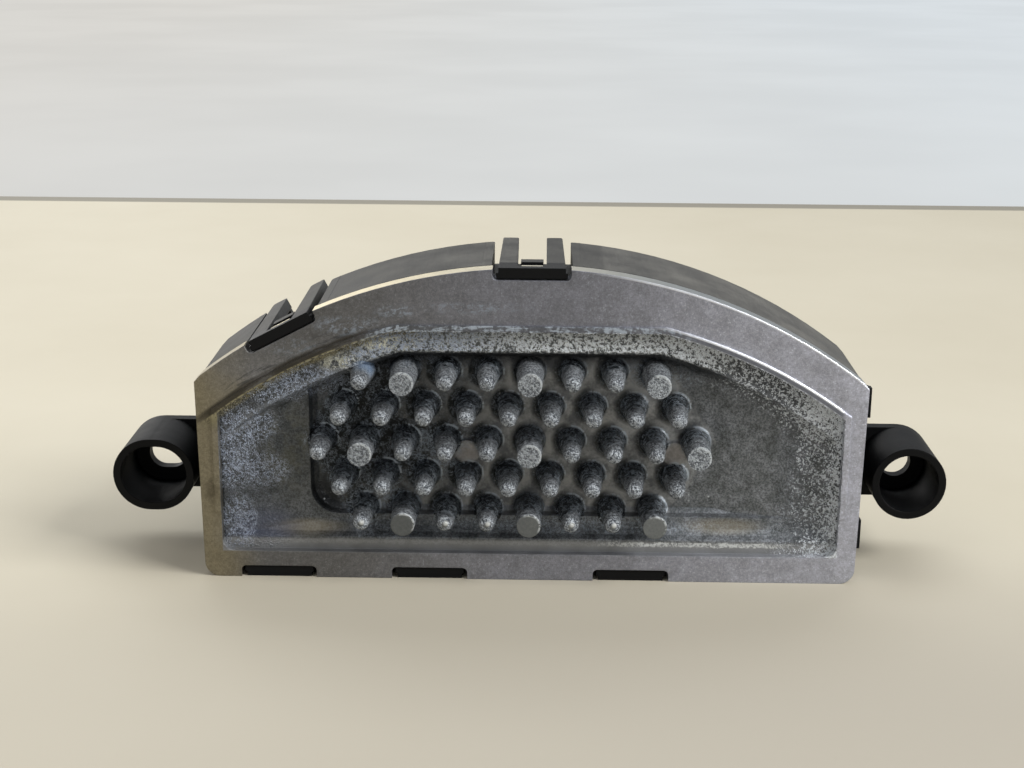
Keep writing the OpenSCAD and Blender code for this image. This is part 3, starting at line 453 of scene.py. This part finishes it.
def shelf_floor(m, s, floor):
    """The shelf under the arc, the wall below its flat top in painted shadow and grime, painted light
    on the step walls at both ends, and the lower shelf.

    Gives the colour, the shelf's share and the shadow's share."""
    flat = m.step(m.x, -31.0, -20.0) * m.step(m.x, 34.0, 24.0)
    shelf = m.step(s.y, SHELF_Y + 0.8, SHELF_Y + 0.3) * m.step(s.from_top, 3.8, 3.0) * flat
    shelf_colour = m.mix(m.step(s.fine * 0.5 + s.flakes * 0.5, 0.42, 0.60), linear(82, 86, 88),
                         linear(236, 240, 238))
    floor = m.mix(shelf, floor, shelf_colour)
    # Painted shadow, with grime, on the wall below the flat top
    under = m.step(s.from_top, 2.8, 3.4) * m.step(s.from_top, 7.0, 4.2) * flat
    under = under * m.step(s.z, 28.0, 31.0)
    floor = m.mix(under * 0.8, floor, linear(36, 38, 41))

    # Painted light on the downward-facing step wall between shelf and dish at both ends, and cream and
    # yellow crust at the left
    seam_light = m.step(s.from_top, 2.4, 3.0) * m.step(s.from_top, 4.6, 3.8)
    seam_light_ends = m.step(m.x, -20.0, -27.0) * 0.75 + m.step(m.x, 24.0, 30.0) * 0.8
    floor = m.mix(seam_light * seam_light_ends * s.in_recess * 0.65, floor, linear(128, 133, 140))
    cream = m.patches((-20.5, 35.2, 5.0, 1.4), (-27.5, 32.5, 4.0, 1.6, 0.6))
    cream = cream * m.step(s.flakes, 0.42, 0.54) * s.in_recess
    floor = m.mix(cream * 0.9, floor, linear(232, 232, 214))
    yellow = m.step(s.from_top, 1.2, 0.5) * m.step(m.x, -10.0, -20.0) * m.step(s.z, 21.0, 23.0)
    yellow_colour = m.mix(m.step(s.speckle, 0.4, 0.6), linear(84, 80, 60), linear(172, 164, 130))
    floor = m.mix(yellow * s.in_recess * 0.7, floor, yellow_colour)

    # A painted shadow line round the recess below the arc, and brighter metal on the lower shelf,
    # rising towards the right by painted light
    shadow_line = m.step(s.inside, 0.32, 0.18) * m.step(s.inside, -0.2, -0.05) * m.step(s.z, 26.0, 22.0)
    shadow_line = shadow_line * m.step(s.y, RIM_Y + 0.05, RIM_Y + 0.3)
    floor = m.mix(shadow_line * 0.8, floor, linear(34, 36, 38))
    low_shelf = m.step(s.z, 5.9, 5.3) * m.step(s.y, SHELF_Y + 1.2, SHELF_Y + 0.6)
    low_metal = m.mix(s.mottle, linear(108, 109, 110), linear(128, 130, 132))
    low_metal = m.shade(low_metal, m.mix_value(s.right, 1.3, 1.62))
    return m.mix(low_shelf * 0.9, floor, low_metal), shelf, under


def powdered_floor(m, s, floor, shelf, under):
    """White powder on the shelf, along the right arc, at both ends and on the lower edge.

    Gives the colour, the powder's share and the lower line's share."""
    along_arc = m.step(s.from_top, 8.5, 0.5) * m.step(m.x, 12.0, 27.0)
    # Painted shade in a band below the shelf along the right arc
    shade_band = along_arc * m.step(s.from_top, 6.0, 2.0)
    floor = m.mix(shade_band * 0.55, floor, linear(52, 54, 57))
    at_left = m.patches((-42.7, 17.8, 3.6, 5.0), (-34.0, 29.2, 9.5, 3.6), (-42.0, 8.1, 2.8, 4.2),
                        (-38.6, 15.7, 5.0, 2.8, 0.7), (-40.5, 22.5, 4.5, 3.2, 0.8))
    at_left = at_left + m.step(m.x, -31.0, -38.0) * 0.25
    at_right = m.step(m.x + (s.mottle - 0.5) * 6.0, 35.5, 43.5) * 0.62
    corner = m.patches((41.0, 24.5, 6.0, 4.5), (25.0, 35.0, 5.5, 2.6))
    powder = m.high(m.high(along_arc * 0.66, shelf * 0.8), m.high(at_left * 0.40, at_right))
    powder = powder + corner * 0.35 + m.step(s.inside, 1.6, 0.2) * m.step(m.x, 30.0, 43.0) * 0.4
    amount = powder * s.off_pin * (1.0 - under)
    crust = m.step(s.speckle * 0.75 + s.flakes * 0.25 + amount * 0.12, 0.56, 0.63)
    crust = crust * m.step(amount, 0.05, 0.35)
    crust_colour = m.mix(m.step(m.x, -14.0, 4.0), linear(156, 168, 190), linear(226, 232, 238))
    floor = m.mix(crust * m.step(m.x, -34.0, -24.0, 0.62, 0.85), floor, crust_colour)

    # Bluish frost at the left, and dark pits in the powder
    frost = m.step(s.threads, 0.040, 0.014) * m.step(s.flakes, 0.36, 0.50)
    frost = frost * m.step(at_left, 0.15, 0.6) * s.off_pin
    floor = m.mix(frost * 0.8, floor, linear(182, 192, 210))
    pit_area = m.step(amount, 0.15, 0.6) * m.step(m.x, -36.0, -30.0, 0.45, 1.0)
    pits = m.step(m.noise(1.9, 2.0, 0.7, shift=51.0), 0.57, 0.66) * pit_area
    floor = m.mix(pits * 0.4, floor, linear(44, 46, 49))

    # The broken white line on the lower edge, and a few specks
    line_z = s.z - 5.25 + (s.flakes - 0.5) * 0.9
    lower_line = m.step(m.abs(line_z), 0.45, 0.2)
    lower_line = lower_line * m.step(m.x + (s.flakes - 0.5) * 8.0, 40.0, 34.0)
    lower_line = lower_line * (m.step(m.x, 9.0, 14.0) * 0.8 + 0.14)
    lower_line = lower_line * m.step(s.speckle, 0.42, 0.54) * s.in_recess
    floor = m.mix(lower_line, floor, linear(196, 199, 198))
    specks = m.step(m.cells(0.9, shift=5.0), 0.16, 0.08)
    specks = specks * m.patches((25.1, 11.6, 3.0, 1.6), (-30.5, 10.8, 2.5, 0.8))
    return m.mix(specks, floor, linear(190, 194, 198)), crust, lower_line


def pin_colour(m, s, rings):
    """Wet black feet with grooves, grey powder towards the tips and all along the top row.

    Gives the colour, the share of powder and the share of clean flat tips."""
    top_row = m.step(s.z, 26.5, 30.0)
    low_row = m.step(s.z, 12.4, 11.6)
    caked = m.patches((-23.9, 30.6, 3.0, 3.6), (-17.8, 31.0, 3.4, 4.0, 0.8), (0.2, 31.0, 3.6, 4.0),
                      (18.2, 31.0, 3.8, 4.2), (-12.0, 20.0, 3.4, 4.0, 0.5))
    start = 0.58 - top_row * 0.16 - caked * 0.42 + low_row * 0.12
    start = start + (m.noise(0.19, 0.0, 0.5, shift=71.0) - 0.5) * 0.7
    tip_share = m.step(s.pin_height - start + (s.flakes - 0.5) * 0.8, -0.10, 0.16)

    groove = m.step(rings, 0.80, 0.97) * m.step(s.flakes, 0.43, 0.53)
    streak = m.step(s.threads, 0.055, 0.018) * m.step(s.flakes, 0.45, 0.55) * 0.9
    foot = m.mix(s.fine, linear(24, 28, 32), linear(44, 49, 53))
    foot = m.mix(m.high(groove, streak), foot, linear(158, 168, 178))
    powdered = m.step(s.speckle, 0.40, 0.57)
    tip = m.mix(powdered, linear(68, 73, 80), linear(194, 201, 208))
    tip = m.mix(m.step(s.threads, 0.050, 0.015) * 0.75, tip, linear(38, 42, 48))
    tip = m.mix(m.step(rings, 0.35, 0.9) * 0.4, tip, linear(48, 52, 57))
    # Painted shade: the tips are darker where they turn away to the sides
    tip = m.shade(tip, m.step(s.ny, -0.2, -0.85, 0.6, 1.1))
    blue = m.patches((-22.4, 31.8, 2.8, 1.8), (-16.6, 33.4, 2.6, 1.4, 0.4))
    blue = blue * m.step(s.pin_height, 0.8, 0.4)
    tip = m.mix(blue * 0.5, tip, linear(118, 146, 180))
    pin = m.mix(tip_share, foot, tip)

    # The large pins' flat tips, which are clean metal in the lowest row
    face = m.step(s.y, TIP_Y + 0.2, TIP_Y + 0.08) * m.step(s.ny, -0.9, -0.98)
    face_colour = m.mix(powdered, linear(80, 84, 89), linear(160, 166, 171))
    # The flat tips, powdered or clean, brighten towards the right with painted light
    pin = m.mix(face * 0.85, pin, m.shade(face_colour, m.mix_value(s.right, 0.85, 1.1)))
    clean = face * low_row
    clean_colour = m.mix(s.fine, linear(84, 88, 89), linear(114, 117, 118))
    pin = m.mix(clean, pin, m.shade(clean_colour, m.mix_value(s.right, 0.85, 1.45)))
    # A painted highlight on each tip's rim at the upper right, where the light comes from
    tip_edge_highlight = m.step(s.near, 1.36, 1.52) * m.step(s.y, TIP_Y + 0.5, TIP_Y + 0.2)
    tip_edge_highlight = tip_edge_highlight * m.step(s.lean, 0.1, 0.9) * m.step(s.flakes, 0.38, 0.5)
    pin = m.mix(tip_edge_highlight * 0.8, pin, linear(202, 208, 212))

    # A glint on the small round tips of the lowest row, between the large pins 18 mm apart
    small = m.step(m.abs(m.math("WRAP", m.x - 0.175, 9.0, -9.0)), 2.5, 3.5)
    glint = m.step(m.length(s.rightward - 0.2, s.upward - 0.25), 0.5, 0.15)
    glint = glint * m.step(s.y, TIP_Y + 0.6, TIP_Y + 0.2) * low_row * small
    return m.mix(glint * 0.65, pin, linear(226, 228, 226)), tip_share, clean


def casting():
    """Satin die-cast aluminium, corroded round the pins and in the recess."""
    m = Material("cast_aluminium")
    s = casting_fields(m)
    metal, bright, bead_crust = bead_and_edge(m, s, rim_metal(m, s))
    floor, pocket, web = pocket_floor(m, s, recess_metal(m, s))
    floor, shelf, under = shelf_floor(m, s, floor)
    floor, crust, lower_line = powdered_floor(m, s, floor, shelf, under)
    rings = m.math("SINE", s.pin_height * 40.0 + s.veins * 22.0)
    pin, tip_share, clean = pin_colour(m, s, rings)
    colour = m.mix(s.in_recess, metal, floor)
    colour = m.mix(s.on_pin, colour, pin)

    # Powder is dull and barely metallic, the black feet are wet
    off = 1.0 - s.on_pin
    oily = s.on_pin * (1.0 - tip_share)
    crusted = m.high(m.high(crust, web) * off,
                     m.high(tip_share * s.on_pin * (1.0 - clean), bead_crust))
    crusted = m.high(crusted, lower_line * off)
    roughness = m.step(s.mottle, 0.2, 0.8, 0.40, 0.50) + s.in_recess * 0.04
    roughness = roughness + crusted * 0.35 - oily * 0.24 - bright * 0.12 - pocket * off * 0.06
    metallic = m.step(crusted, 0.1, 0.7, 0.72, 0.12) * m.step(oily, 0.2, 0.8, 1.0, 0.30)

    # Relief in mm: grain everywhere, lumps of crust where powder lies, rings round the pins
    lumpy = m.high(m.step(s.from_top, 8.0, 2.0), m.step(s.from_side, 11.0, 5.0)) * s.off_pin
    lumpy = m.high(lumpy, m.step(s.pin_height, 0.3, 0.7) * s.on_pin * (1.0 - clean))
    lumps = m.step(s.speckle * 0.6 + s.flakes * 0.4, 0.46, 0.64) * lumpy
    relief = s.grain * 0.02 + lumps * 0.20 + rings * s.on_pin * (1.0 - clean) * 0.022
    return m.finish(colour, roughness, metallic, [(relief, 1.0)], edge=0.25)


def plastic():
    """Black moulded plastic with a fine grain and a film of dust on what faces up."""
    m = Material("black_plastic")
    nz = m.facing()[2]
    grain = m.noise(6.5, 2.0, 0.6)
    cloud = m.noise(0.16, 3.0, 0.6, shift=9.0)
    scuffs = m.noise(0.9, 4.0, 0.7, stretch=(3.0, 0.25, 3.0), shift=17.0)
    body = m.mix(cloud, linear(7, 8, 10), linear(13, 14, 16))
    up = m.step(nz, 0.25, 0.95)
    dust = up * m.step(cloud + scuffs * 0.4, 0.4, 1.0, 0.28, 0.76)
    dust = dust * m.step(m.y, BARS_Y, BARS_Y + 0.5, 0.12, 1.0)
    tube = m.step(m.abs(m.x), TUBES_X, TUBES_X + 1.0)
    loop = m.step(m.abs(m.x - TOP_LOOP_X), TOP_LOOP_HALF, TOP_LOOP_HALF - 0.7)
    loop = loop * m.step(m.z, TOP_LOOP_Z, TOP_LOOP_Z + 1.0)
    dust = dust * (1.0 - tube) * (1.0 - loop * 0.4)
    # The screw tubes are darker than the body: partly their own deeper black, partly painted shade that
    # keeps their rings and openings dark
    colour = m.mix(dust, m.mix(tube * 0.7, body, linear(3, 4, 5)), linear(104, 103, 99))
    scratch = m.step(scuffs, 0.62, 0.72) * 0.22 * up
    colour = m.mix(scratch * (1.0 - tube), colour, linear(92, 92, 92))
    roughness = m.step(cloud, 0.2, 0.8, 0.36, 0.46) + dust * 0.25 + tube * 0.12
    relief = grain * 0.012 + scuffs * 0.02
    return m.finish(colour, roughness, 0.0, [(relief, 1.0)], edge=0.25, Specular_IOR_Level=0.15)


def simple(name, dark, light, roughness, metallic=0.0, scale=1.2, size=0.01, stretch=(1, 1, 1)):
    """A plain finish: two close colours, mottled roughness and a fine grain."""
    m = Material(name)
    mottle = m.noise(scale, 4.0, 0.6, stretch=stretch)
    grain = m.noise(scale * 6, 2.0, 0.6, stretch=stretch, shift=5.0)
    colour = m.mix(mottle, linear(*dark), linear(*light))
    colour = m.shade(colour, m.step(grain, 0.2, 0.8, 0.92, 1.08))
    rough = m.step(mottle, 0.2, 0.8, roughness - 0.06, roughness + 0.08)
    return m.finish(colour, rough, metallic, [(grain, size)], edge=0.08)


def laminate():
    """Green solder mask over copper tracks, with the bare glass edge."""
    m = Material("board_laminate")
    ny = m.facing()[1]
    weave = m.math("SINE", m.x * 9.0) * m.math("SINE", m.z * 9.0)
    turns = m.step(m.noise(0.12, 0.0, 0.5), 0.45, 0.55, 0.0, 9.0)
    tracks = m.math("SINE", m.x * 1.1 + turns)
    areas = m.step(m.noise(0.09, 1.0, 0.5, shift=4.0), 0.42, 0.47)
    tracks = m.low(m.step(tracks, 0.1, 0.25), areas)
    mask = m.mix(tracks, linear(24, 78, 50), linear(44, 112, 70))
    glass = m.mix(m.noise(3.0), linear(150, 142, 96), linear(176, 168, 120))
    colour = m.mix(m.step(m.abs(ny), 0.7, 0.9), glass, mask)
    roughness = m.step(m.noise(0.8), 0.2, 0.8, 0.28, 0.38)
    return m.finish(colour, roughness, 0.0, [(tracks, 0.03), (weave, 0.006)], edge=0.06)


def winding():
    """Enamelled copper wire."""
    m = Material("enamelled_copper")
    mottle = m.noise(0.9, 3.0, 0.6)
    colour = m.mix(mottle, linear(146, 74, 34), linear(186, 104, 52))
    roughness = m.step(mottle, 0.2, 0.8, 0.25, 0.36)
    return m.finish(colour, roughness, 0.85, [(m.noise(5.0), 0.01)], edge=0.05)


# The plain finishes: dark and light colour, roughness, and what else differs
PLAIN = {
    "sealing_rubber": ((26, 25, 25), (38, 37, 36), 0.72, {}),
    "pad_silicone": ((168, 172, 176), (188, 192, 196), 0.7, {}),
    "black_epoxy": ((26, 26, 27), (38, 38, 39), 0.5, {"scale": 2.5, "size": 0.015}),
    "tinned_copper": ((164, 164, 166), (192, 192, 192), 0.34, {"metallic": 0.95, "scale": 1.5}),
    "spring_steel": ((138, 139, 142), (164, 165, 168), 0.3,
                     {"metallic": 0.95, "stretch": (0.2, 1, 2)}),
    "zinc_steel": ((150, 152, 158), (182, 184, 188), 0.34, {"metallic": 0.95}),
    "capacitor_sleeve": ((40, 45, 66), (52, 58, 82), 0.3, {"scale": 0.6, "size": 0.006}),
    "ferrite": ((54, 52, 50), (74, 72, 69), 0.6, {"scale": 2.0, "size": 0.02}),
    "resistance_alloy": ((138, 128, 116), (166, 156, 142), 0.38,
                         {"metallic": 0.9, "stretch": (0.3, 1, 2)}),
    "chip_ceramic": ((172, 142, 104), (196, 168, 128), 0.5, {"scale": 3.0}),
    "chip_black": ((30, 30, 32), (46, 46, 48), 0.35, {"scale": 3.0}),
    "tinned_brass": ((168, 150, 104), (200, 186, 142), 0.28,
                     {"metallic": 0.95, "stretch": (2, 0.25, 2)}),
}
looks = {
    "cast_aluminium": casting(),
    "black_plastic": plastic(),
    "board_laminate": laminate(),
    "enamelled_copper": winding(),
}
for name, (dark, light, roughness, others) in PLAIN.items():
    looks[name] = simple(name, dark, light, roughness, **others)

slots = {part["node"]: part["material_slot"] for part in frame["record"]["subparts"]}
for name, node in frame["nodes"].items():
    made = looks[slots[name]]
    if not node.material_slots:
        node.data.materials.append(made)
    for place in node.material_slots:
        place.material = made

# Camera at the photograph's place in metres, with its pitch, yaw, roll and focal length in pixels
CAMERA_PLACE = (0.001075, -0.248, 0.095)
PITCH_DOWN = math.radians(15.79)
YAW = math.radians(-0.86)
ROLL = math.radians(0.43)
FOCAL_PIXELS = 1700.0
FRAME_PIXELS = 1024.0
SENSOR_MM = 36.0

ahead = Vector((math.sin(YAW) * math.cos(PITCH_DOWN), math.cos(YAW) * math.cos(PITCH_DOWN),
                -math.sin(PITCH_DOWN)))
level = Vector((math.cos(YAW), -math.sin(YAW), 0.0))
above = level.cross(ahead)
across = math.cos(ROLL) * level + math.sin(ROLL) * above
upright = math.cos(ROLL) * above - math.sin(ROLL) * level
camera = bpy.data.objects.new("camera", bpy.data.cameras.new("camera"))
camera.data.sensor_width = SENSOR_MM
camera.data.lens = SENSOR_MM * FOCAL_PIXELS / FRAME_PIXELS
camera.data.clip_start = 0.01
camera.matrix_world = (Matrix.Translation(CAMERA_PLACE)
                       @ Matrix((across, upright, -ahead)).transposed().to_4x4())
bpy.context.scene.collection.objects.link(camera)
bpy.context.scene.camera = camera


def floor_paint():
    """Mottled paint, with painted shade towards the right and a cool painted shadow in front of the
    object, that runs out into a pale background.
    """
    m = Material("floor_paint")
    colour = m.mix(m.noise(0.012, 4.0, 0.6), linear(184, 177, 158), linear(199, 193, 176))
    # Painted shade towards the right, and a painted shadow in front of the object
    colour = m.shade(colour, m.step(m.x, -150.0, 200.0, 1.06, 0.82))
    front = m.step(m.y, 20.0, -60.0) * m.step(m.x, -160.0, 100.0, 0.35, 1.0)
    colour = m.mix(front, colour, linear(160, 154, 142))
    edge = m.step(m.y, TABLE_END - 9.0, TABLE_END - 7.0)
    colour = m.mix(edge * 0.7, colour, linear(92, 90, 84))
    material = m.finish(colour, 0.75, 0.0, [(m.noise(0.4, 1.0), 0.02)])

    # Rays from the camera, gloss and glass see a pale background beyond the table's end and far away
    rays = m.node("ShaderNodeLightPath")
    seen = [Value(m, rays.outputs[f"Is {kind} Ray"]) for kind in ("Camera", "Glossy", "Transmission")]
    beyond = m.step(m.y, TABLE_END - 0.5, TABLE_END + 0.5)
    far = m.high(beyond, m.step(m.length(m.x, m.y), 450.0, 1100.0))
    pale = m.mix(m.step(m.x, -400.0, 400.0), linear(216, 214, 209), linear(216, 222, 226))
    on_table = m.step(m.y, TABLE_END + 0.5, TABLE_END - 0.5)
    pale = m.mix(on_table, pale, linear(198, 193, 178))
    glow = m.node("ShaderNodeEmission")
    cloud = m.step(m.noise(0.006, 3.0), 0.3, 0.7, 0.97, 1.03)
    m.feed(glow.inputs["Color"], m.shade(pale, cloud))
    blend = m.node("ShaderNodeMixShader")
    m.feed(blend.inputs[0], far * m.high(m.high(seen[0], seen[1]), seen[2]))
    output = next(node for node in m.tree.nodes if node.type == "OUTPUT_MATERIAL")
    m.link(output.inputs["Surface"].links[0].from_socket, blend.inputs[1])
    m.link(glow.outputs[0], blend.inputs[2])
    m.link(blend.outputs[0], output.inputs["Surface"])
    return material


def add_floor():
    """The plain floor, which isn't part of the object."""
    mesh = bpy.data.meshes.new("floor")
    reach = 3.0
    corners = [(-reach, -reach, 0.0), (reach, -reach, 0.0), (reach, reach, 0.0), (-reach, reach, 0.0)]
    mesh.from_pydata(corners, [], [(0, 1, 2, 3)])
    mesh.materials.append(floor_paint())
    made = bpy.data.objects.new("floor", mesh)
    bpy.context.scene.collection.objects.link(made)


def lamp(name, place, aim, size, power, colour):
    """A rectangular lamp: place, aim and size in metres, power in watts."""
    light = bpy.data.lights.new(name, "AREA")
    light.shape = "RECTANGLE"
    light.size, light.size_y = size
    light.energy = power
    light.color = colour
    made = bpy.data.objects.new(name, light)
    made.location = place
    made.rotation_euler = (Vector(aim) - Vector(place)).to_track_quat("-Z", "Y").to_euler()
    bpy.context.scene.collection.objects.link(made)


add_floor()
lamp("key", (0.75, -0.32, 0.60), (0.0, 0.0, 0.02), (0.5, 0.5), 12.0, (1.0, 0.99, 0.97))
lamp("fill", (-0.7, -0.5, 0.6), (0.0, 0.0, 0.02), (0.8, 0.8), 2.5, (1.0, 0.95, 0.88))
lamp("back", (0.05, 0.62, 0.95), (0.0, 0.0, 0.0), (1.0, 0.5), 5.0, (0.97, 0.99, 1.0))
lamp("rear", (-0.55, 0.75, 0.40), (0.0, 0.0, 0.02), (0.6, 0.6), 2.0, (1.0, 0.98, 0.95))

world = bpy.data.worlds.new("world")
world.use_nodes = True
background = world.node_tree.nodes["Background"]
background.inputs["Color"].default_value = (0.92, 0.93, 0.95, 1.0)
background.inputs["Strength"].default_value = 0.44
bpy.context.scene.world = world
bpy.context.scene.view_settings.view_transform = "Standard"
